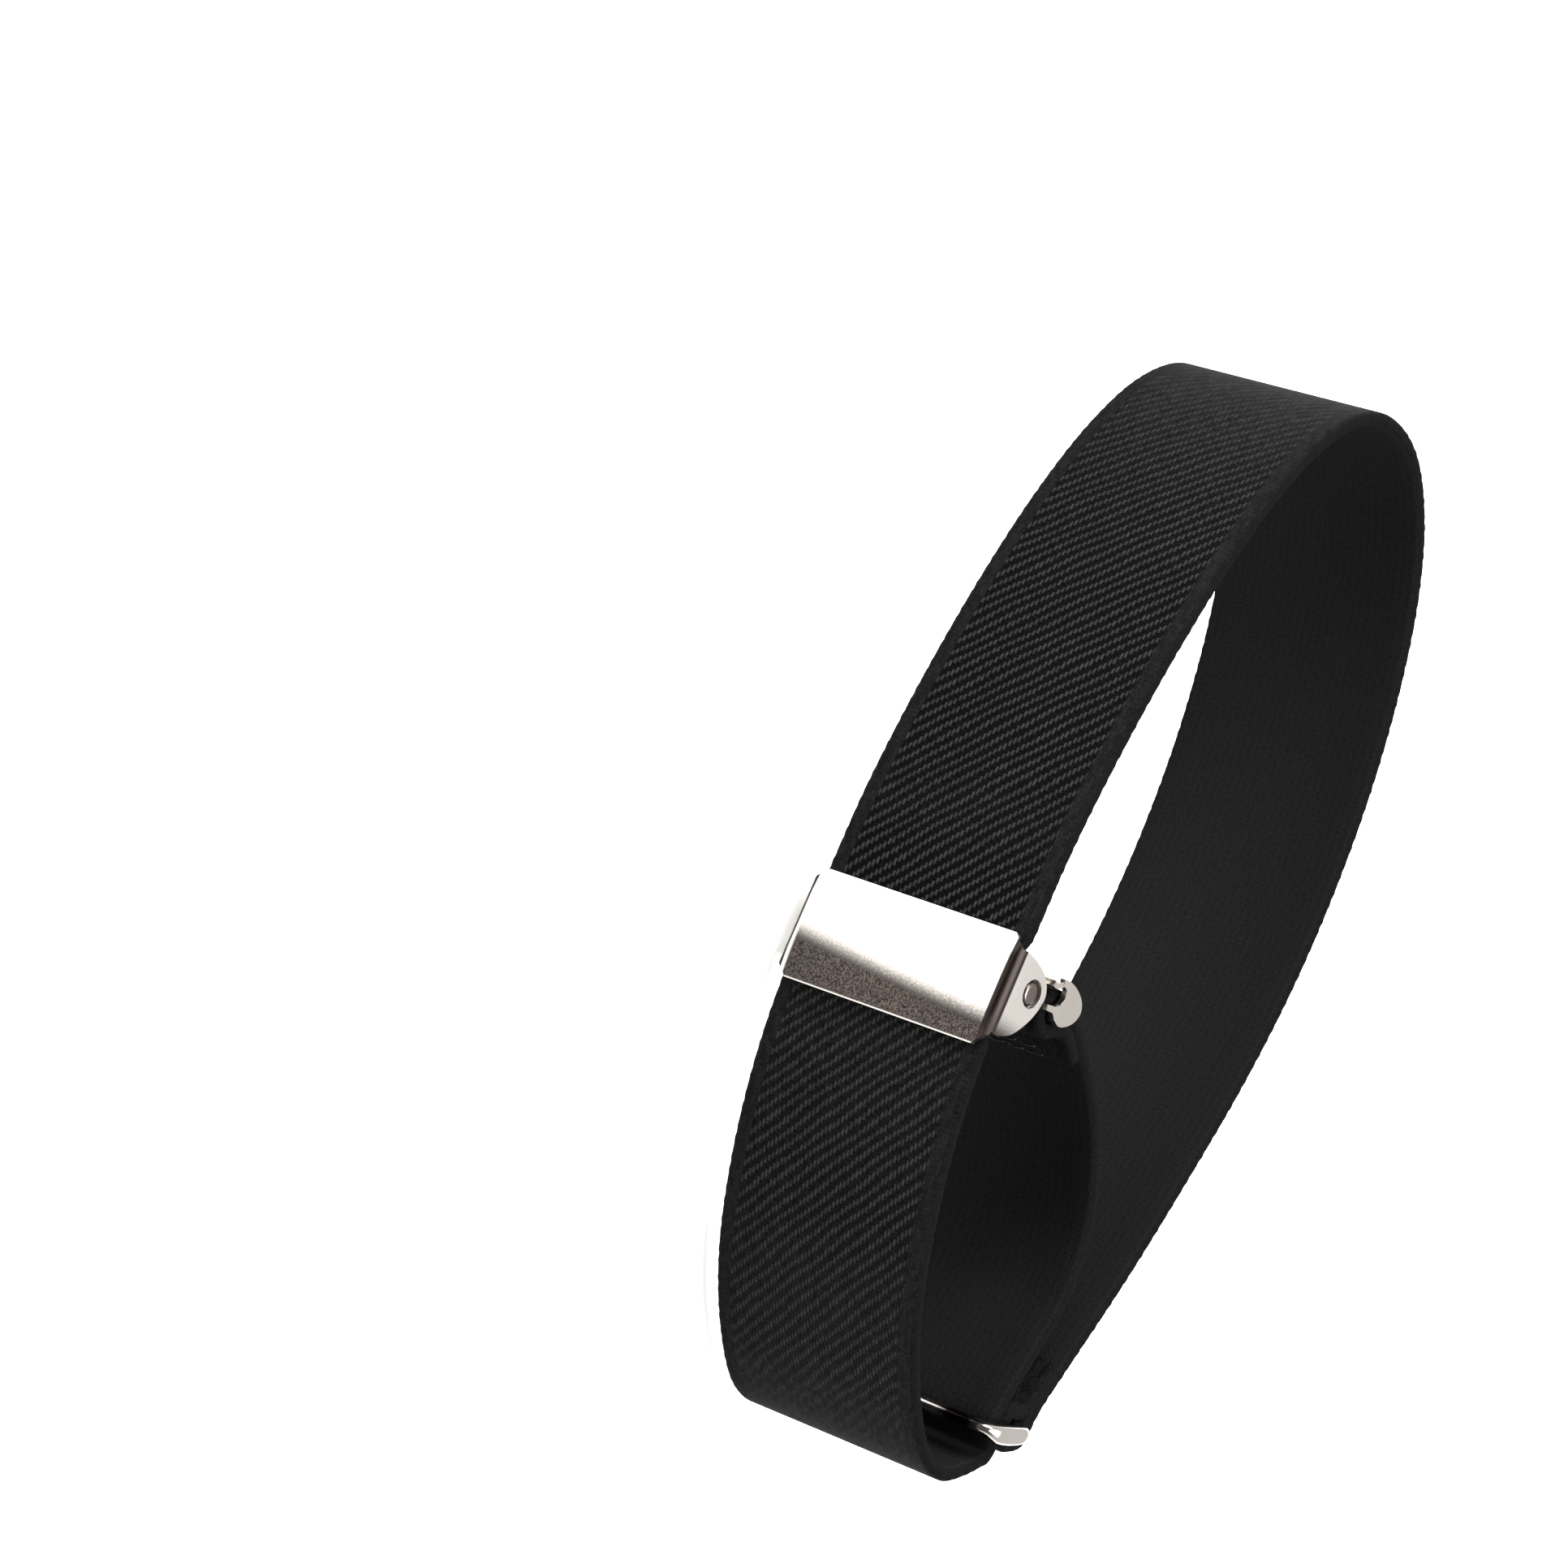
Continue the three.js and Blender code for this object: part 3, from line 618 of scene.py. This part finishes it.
def ribbed_webbing():
    """Woven elastic webbing: a matt black with rows of small round warp floats in slanting ribs on its
    outer face, plain edges about 1.8 mm wide, and a smoother inner face with fine lengthwise lines."""
    made, tree, shader = new_material("woven_elastic_webbing")
    weave = node(tree, "ShaderNodeAttribute", {"attribute_name": "weave"}).outputs["Vector"]
    across, along, inner = node(tree, "ShaderNodeSeparateXYZ", inputs={"Vector": weave}).outputs
    middle = node(tree, MATH, {"operation": "ABSOLUTE"}, {0: across})
    height = weave_height(tree, across, along, inner, middle)
    fuzz = node(tree, NOISE, {"noise_dimensions": "3D"},
                {"Vector": weave, "Scale": FUZZ_SCALE, "Detail": 4.0})
    loose = node(tree, MATH, {"operation": "SUBTRACT"}, {0: fuzz, 1: 0.5})
    dusty = node(tree, MATH, {"operation": "MULTIPLY_ADD", "use_clamp": True},
                 {0: loose, 1: FUZZ_SHARE, 2: height})
    bump = node(tree, "ShaderNodeBump",
                inputs={"Height": dusty, "Strength": 1.0, "Distance": WEAVE_DEEP * MM})
    # Painted shade darkens the very edge of the band
    rim = node(tree, RANGE, inputs={"Value": middle, "From Min": EDGE_SHADE_FROM, "From Max": EDGE_SHADE_TO,
                                    "To Min": 1.0, "To Max": EDGE_SHADE_LEFT})
    painted_light_share = node(tree, MATH, {"operation": "MULTIPLY"}, {0: dusty, 1: rim})
    # The colour follows the weave's height: painted shade in the gaps and painted highlight on the floats'
    # crests
    colour = node(tree, MIX, {"data_type": "RGBA"},
                  {"Factor": painted_light_share, 6: linear(YARN_GAP_PAINTED_SHADE), 7: linear(YARN_CREST_PAINTED_HIGHLIGHT)})
    connect(tree, shader, {"Base Color": colour.outputs[2], "Normal": bump, "Roughness": 0.8,
                           "Specular IOR Level": 0.03})
    return made


def sewing_thread():
    """Spun polyester sewing thread: black with a slight gloss, twisted finer than the render shows."""
    made, tree, shader = new_material("spun_polyester_thread")
    place = node(tree, "ShaderNodeTexCoord").outputs["Object"]
    # Twist drawn at 0.5 mm, a real one being nearer 0.2 mm
    twist = node(tree, "ShaderNodeTexWave", {"bands_direction": "DIAGONAL"},
                 {"Vector": place, "Scale": 320.0, "Distortion": 1.0}).outputs["Fac"]
    tint = node(tree, MIX, {"data_type": "RGBA"},
                {"Factor": twist, 6: linear("#09090a"), 7: linear("#242426")})
    bump = node(tree, "ShaderNodeBump", inputs={"Height": twist, "Distance": 0.05 * MM})
    connect(tree, shader, {"Base Color": tint.outputs[2], "Normal": bump, "Roughness": 0.55,
                           "Specular IOR Level": 0.25})
    return made


def painted_reflection_finish(tree, share, grain, tint, rough):
    """The plating's tint and roughness with a share of painted dark reflection, grainy, and a rougher
    finish.
    """
    speck = node(tree, RANGE, inputs={"Value": grain, "From Min": 0.35, "From Max": 0.7})
    dark = node(tree, MIX, {"data_type": "RGBA"},
                {"Factor": speck, 6: linear(PAINTED_REFLECTION_DARK), 7: linear(PAINTED_REFLECTION_PALE)})
    tint = node(tree, MIX, {"data_type": "RGBA"}, {"Factor": share, 6: tint, 7: dark.outputs[2]}).outputs[2]
    return tint, node(tree, MIX, {"data_type": "FLOAT"}, {"Factor": share, 2: rough, 3: REFLECTION_HALF_ROUGH})


def nickel_plate(name, roughness, light, shade, painted_reflection_mask=None, painted_dark_mask=None):
    """Nickel plate on stamped steel: a warm pale grey with a fine satin grain.

    The roughness and tint follow the grain and slow clouds. An optional mask, worked out from the place on
    the piece, adds painted dark reflection with a rougher finish, and a second one adds painted shade.
    """
    made, tree, shader = new_material(name)
    place = node(tree, "ShaderNodeTexCoord").outputs["Object"]
    # Grain drawn coarser than the real one so that it shows, and clouds about 4.5 mm across
    grain = node(tree, NOISE, inputs={"Vector": place, "Scale": 1 / (GRAIN_SIZE * MM), "Detail": 2.0})
    cloud = node(tree, NOISE, inputs={"Vector": place, "Scale": CLOUD_SCALE, "Detail": 3.0})
    rough = node(tree, RANGE, inputs={"Value": grain, "To Min": roughness - ROUGH_SPREAD,
                                      "To Max": roughness + ROUGH_SPREAD})
    tint = node(tree, MIX, {"data_type": "RGBA"},
                {"Factor": cloud, 6: linear(shade), 7: linear(light)}).outputs[2]
    # Painted dark reflection, where that mask gives it
    if painted_reflection_mask:
        tint, rough = painted_reflection_finish(tree, painted_reflection_mask(tree, place, grain), grain, tint, rough)
    # Painted dark where the last mask gives it: shade on the plate's bends, reflection on the ring's bars
    if painted_dark_mask:
        tint = node(tree, MIX, {"data_type": "RGBA"},
                    {"Factor": painted_dark_mask(tree, place), 6: tint, 7: linear(PAINTED_DARK_TINT)}).outputs[2]
    bump = node(tree, "ShaderNodeBump",
                inputs={"Height": grain, "Strength": 0.3, "Distance": GRAIN_DEEP * MM})
    connect(tree, shader, {"Base Color": tint, "Roughness": rough, "Normal": bump, "Metallic": 1.0})
    return made


def between(tree, value, start, end, soft):
    """One from start to end of a value, with soft borders inside them, and nought beyond."""
    rise = node(tree, RANGE, inputs={"Value": value, "From Min": start, "From Max": start + soft})
    fall = node(tree, RANGE, inputs={"Value": value, "From Min": end - soft, "From Max": end,
                                     "To Min": 1.0, "To Max": 0.0})
    return node(tree, MATH, {"operation": "MULTIPLY"}, {0: rise, 1: fall})


def painted_reflection_half(tree, place, grain):
    """Share of painted dark reflection on the plate: nought on its upper half, full towards the foot.

    The soft border climbs across the plate and is ragged by the grain, and the rims along the foot and
    the lower end stay bright.
    """
    low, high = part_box("adjuster_plate")
    along, _, height = node(tree, "ShaderNodeSeparateXYZ", inputs={"Vector": place}).outputs
    climb = (high.x - low.x) * REFLECTION_HALF_CLIMB / (high.z - low.z)
    start = low.x + (high.x - low.x) * REFLECTION_HALF_FROM - climb * low.z
    border = summed(tree, along, [(height, -climb), (grain, REFLECTION_HALF_RAGGED * MM)])
    half = node(tree, RANGE, {"interpolation_type": "SMOOTHSTEP"},
                {"Value": border, "From Min": start + REFLECTION_HALF_START * MM, "From Max": start + REFLECTION_HALF_END * MM})
    foot = node(tree, RANGE, inputs={"Value": along, "From Min": high.x - FOOT_RIM[0] * MM,
                                     "From Max": high.x - FOOT_RIM[1] * MM, "To Min": 1.0, "To Max": 0.4})
    end = node(tree, RANGE, inputs={"Value": height, "From Min": low.z + END_RIM[0] * MM,
                                    "From Max": low.z + END_RIM[1] * MM})
    kept = node(tree, MATH, {"operation": "MULTIPLY"}, {0: foot, 1: end})
    return node(tree, MATH, {"operation": "MULTIPLY"}, {0: half, 1: kept})


def painted_shade_on_bends(tree, place):
    """Share of painted shade on the plate: along its upper bend, and in a thin line on the lower one."""
    low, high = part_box("adjuster_plate")
    _, depth, height = node(tree, "ShaderNodeSeparateXYZ", inputs={"Vector": place}).outputs
    front = between(tree, depth, low.y - MM, low.y + BEND_BACK * MM, BEND_BACK_SOFT * MM)
    upper = between(tree, height, high.z - BEND_UPPER * MM, high.z + MM, BEND_UPPER_SOFT * MM)
    lower = between(tree, height, low.z - MM, low.z + BEND_LOWER * MM, BEND_LOWER_SOFT * MM)
    both = node(tree, MATH, {"operation": "MAXIMUM"}, {0: upper, 1: lower})
    return node(tree, MATH, {"operation": "MULTIPLY"}, {0: both, 1: front})


def painted_reflection_on_bars(tree, place):
    """Share of painted dark reflection on the ring's long bars, near their upper end, beside the webbing."""
    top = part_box("slide_ring")[1].z
    height = node(tree, "ShaderNodeSeparateXYZ", inputs={"Vector": place}).outputs[2]
    return between(tree, height, top - BAR_SHADE_FROM * MM, top - BAR_SHADE_TO * MM, BAR_SHADE_SOFT * MM)


def pale_floor():
    """Matt white acrylic of a studio table, lit a little from below, so that shadows on it stay pale."""
    made, tree, shader = new_material("backlit_white_acrylic")
    place = node(tree, "ShaderNodeTexCoord").outputs["Object"]
    cloud = node(tree, NOISE, inputs={"Vector": place, "Scale": 3.0})
    tint = node(tree, MIX, {"data_type": "RGBA"},
                {"Factor": cloud, 6: linear("#f6f6f5"), 7: linear("#fbfbfa")})
    connect(tree, shader, {"Base Color": tint.outputs[2], "Emission Color": tint.outputs[2],
                           "Emission Strength": FLOOR_GLOW, "Roughness": 0.9, "Specular IOR Level": 0.0})
    return made


def studio_world():
    """Soft white surroundings, darker low down on the side where the camera stands."""
    world = bpy.data.worlds.new("studio")
    bpy.context.scene.world = world
    world.use_nodes = True
    tree = world.node_tree
    way = node(tree, "ShaderNodeTexCoord").outputs["Generated"]
    _, ahead, up = node(tree, "ShaderNodeSeparateXYZ", inputs={"Vector": way}).outputs
    behind = node(tree, RANGE, {"interpolation_type": "SMOOTHSTEP"},
                  {"Value": ahead, "From Min": BEHIND[0], "From Max": BEHIND[1]})
    over = node(tree, RANGE, {"interpolation_type": "SMOOTHSTEP"},
                {"Value": up, "From Min": OVER[0], "From Max": OVER[1]})
    bright = node(tree, MATH, {"operation": "MAXIMUM"}, {0: behind, 1: over})
    tint = node(tree, MIX, {"data_type": "RGBA"},
                {"Factor": bright, 6: linear("#5a5856"), 7: linear("#e4e3e1")})
    connect(tree, tree.nodes["Background"], {"Color": tint.outputs[2], "Strength": 1.0})


def area_light(name, place, size, watts):
    """A square soft light at a place, facing the part."""
    data = bpy.data.lights.new(name, "AREA")
    data.shape = "RECTANGLE"
    data.size = data.size_y = size
    data.energy = watts
    made = bpy.data.objects.new(name, data)
    bpy.context.scene.collection.objects.link(made)
    made.location = place
    ahead = np.array(LIGHTS_AIM, float) - np.array(place, float)
    made.rotation_euler = Vector(ahead).to_track_quat("-Z", "Y").to_euler()


def photo_camera():
    """The camera turned to its azimuth and elevation, then rolled about its own line of sight."""
    data = bpy.data.cameras.new("camera")
    data.lens = CAMERA_LENS
    data.sensor_width = CAMERA_SENSOR
    data.clip_start, data.clip_end = 0.01, 20.0
    made = bpy.data.objects.new("camera", data)
    bpy.context.scene.collection.objects.link(made)
    level = Matrix.Rotation(-math.radians(CAMERA_AZIMUTH), 4, "Z")
    tilt = Matrix.Rotation(math.radians(90 - CAMERA_ELEVATION), 4, "X")
    roll = Matrix.Rotation(math.radians(CAMERA_ROLL), 4, "Z")
    made.matrix_world = Matrix.Translation(CAMERA_PLACE) @ level @ tilt @ roll
    bpy.context.scene.camera = made


photo_camera()
bpy.context.scene.view_settings.view_transform = "Standard"
corners = [(x * FLOOR_REACH, y * FLOOR_REACH, 0) for x, y in ((-1, -1), (1, -1), (1, 1), (-1, 1))]
floor = mesh_piece("floor", corners, [(0, 1, 2, 3)], pale_floor())
studio_world()
for light_row in LIGHTS:
    area_light(*light_row)

bright_nickel = nickel_plate("bright_nickel_on_steel", 0.22, "#dad5cf", "#c6c0b9")
# The plate's satin nickel carries painted dark reflection on its lower half and painted shade on its bends
satin_nickel = nickel_plate("satin_nickel_with_painted_shade_and_reflection", 0.34, "#d8d4cf", "#c9c4be", painted_reflection_half, painted_shade_on_bends)
# The pin is drawn darker and browner than the other plating
darker_nickel = nickel_plate("darker_nickel_on_steel_rod", 0.3, "#8a7f7a", "#4a403c")
# The ring's polished nickel carries painted dark reflection on its long bars beside the webbing
wire_nickel = nickel_plate("polished_nickel_wire_with_painted_reflection", 0.16, "#dedad5", "#cbc6c0", painted_dark_mask=painted_reflection_on_bars)
pressed_steel("adjuster_plate", "slide_plate", 0.16, satin_nickel)
pressed_steel("adjuster_lever", "toothed_lever", 0.12, bright_nickel)
pressed_steel("pivot_pin", "pin", 0.15, darker_nickel)
ring = oblong_ring("oblong_ring", wire_nickel)
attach(ring, "root")
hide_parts("slide_ring")

strap = strap_line()
band = webbing_band("elastic_band", strap, ribbed_webbing())
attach(band, "root")
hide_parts("elastic_strap")

thread = stitch_rows("end_stitching", strap, sewing_thread())
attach(thread, "root")
